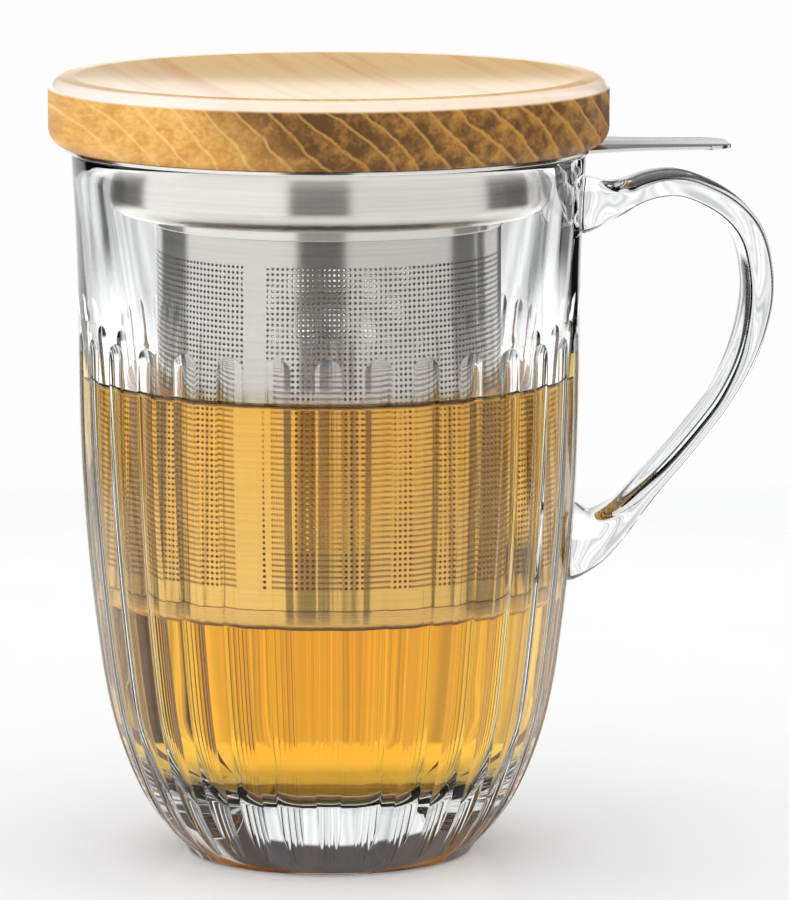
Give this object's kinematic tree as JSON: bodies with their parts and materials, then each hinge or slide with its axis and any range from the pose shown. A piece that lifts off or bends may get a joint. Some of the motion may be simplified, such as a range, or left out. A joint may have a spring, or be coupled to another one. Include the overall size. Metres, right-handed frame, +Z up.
{
  "type": "lidded tea mug with infuser",
  "caption": "Clear glass tea mug with a looped glass handle, a drop-in perforated steel infuser with a lifting tab, and a round wooden lid with a seal.",
  "frame": {"origin": "on the mug's axis, in the plane that the foot stands on", "axes": "+Z up along the mug's axis, +X out along the handle"},
  "size_m": [0.114, 0.0878, 0.123],
  "materials": {
    "glass": "clear pressed glass",
    "steel": "brushed round the axis",
    "perforated_steel": "fine square grid of round holes, brushed",
    "wood": "oiled, warm honey brown with darker streaks",
    "silicone": "translucent white, satin",
    "tea": "clear amber liquid"
  },
  "bodies": {
    "mug": {"glass_body": "glass", "handle": "glass"},
    "infuser": {"infuser_collar": "steel", "basket_wall": "perforated_steel", "basket_base": "steel"},
    "lid": {"lid": "wood", "lid_seal": "silicone"}
  },
  "joints": [
    {"name": "infuser_lift", "type": "slide", "parent": "mug", "child": "infuser", "axis": [0, 0, 1], "range_m": [0, 0.085]},
    {"name": "lid_lift", "type": "slide", "parent": "infuser", "child": "lid", "axis": [0, 0, 1], "range_m": [0, 0.03]}
  ]
}
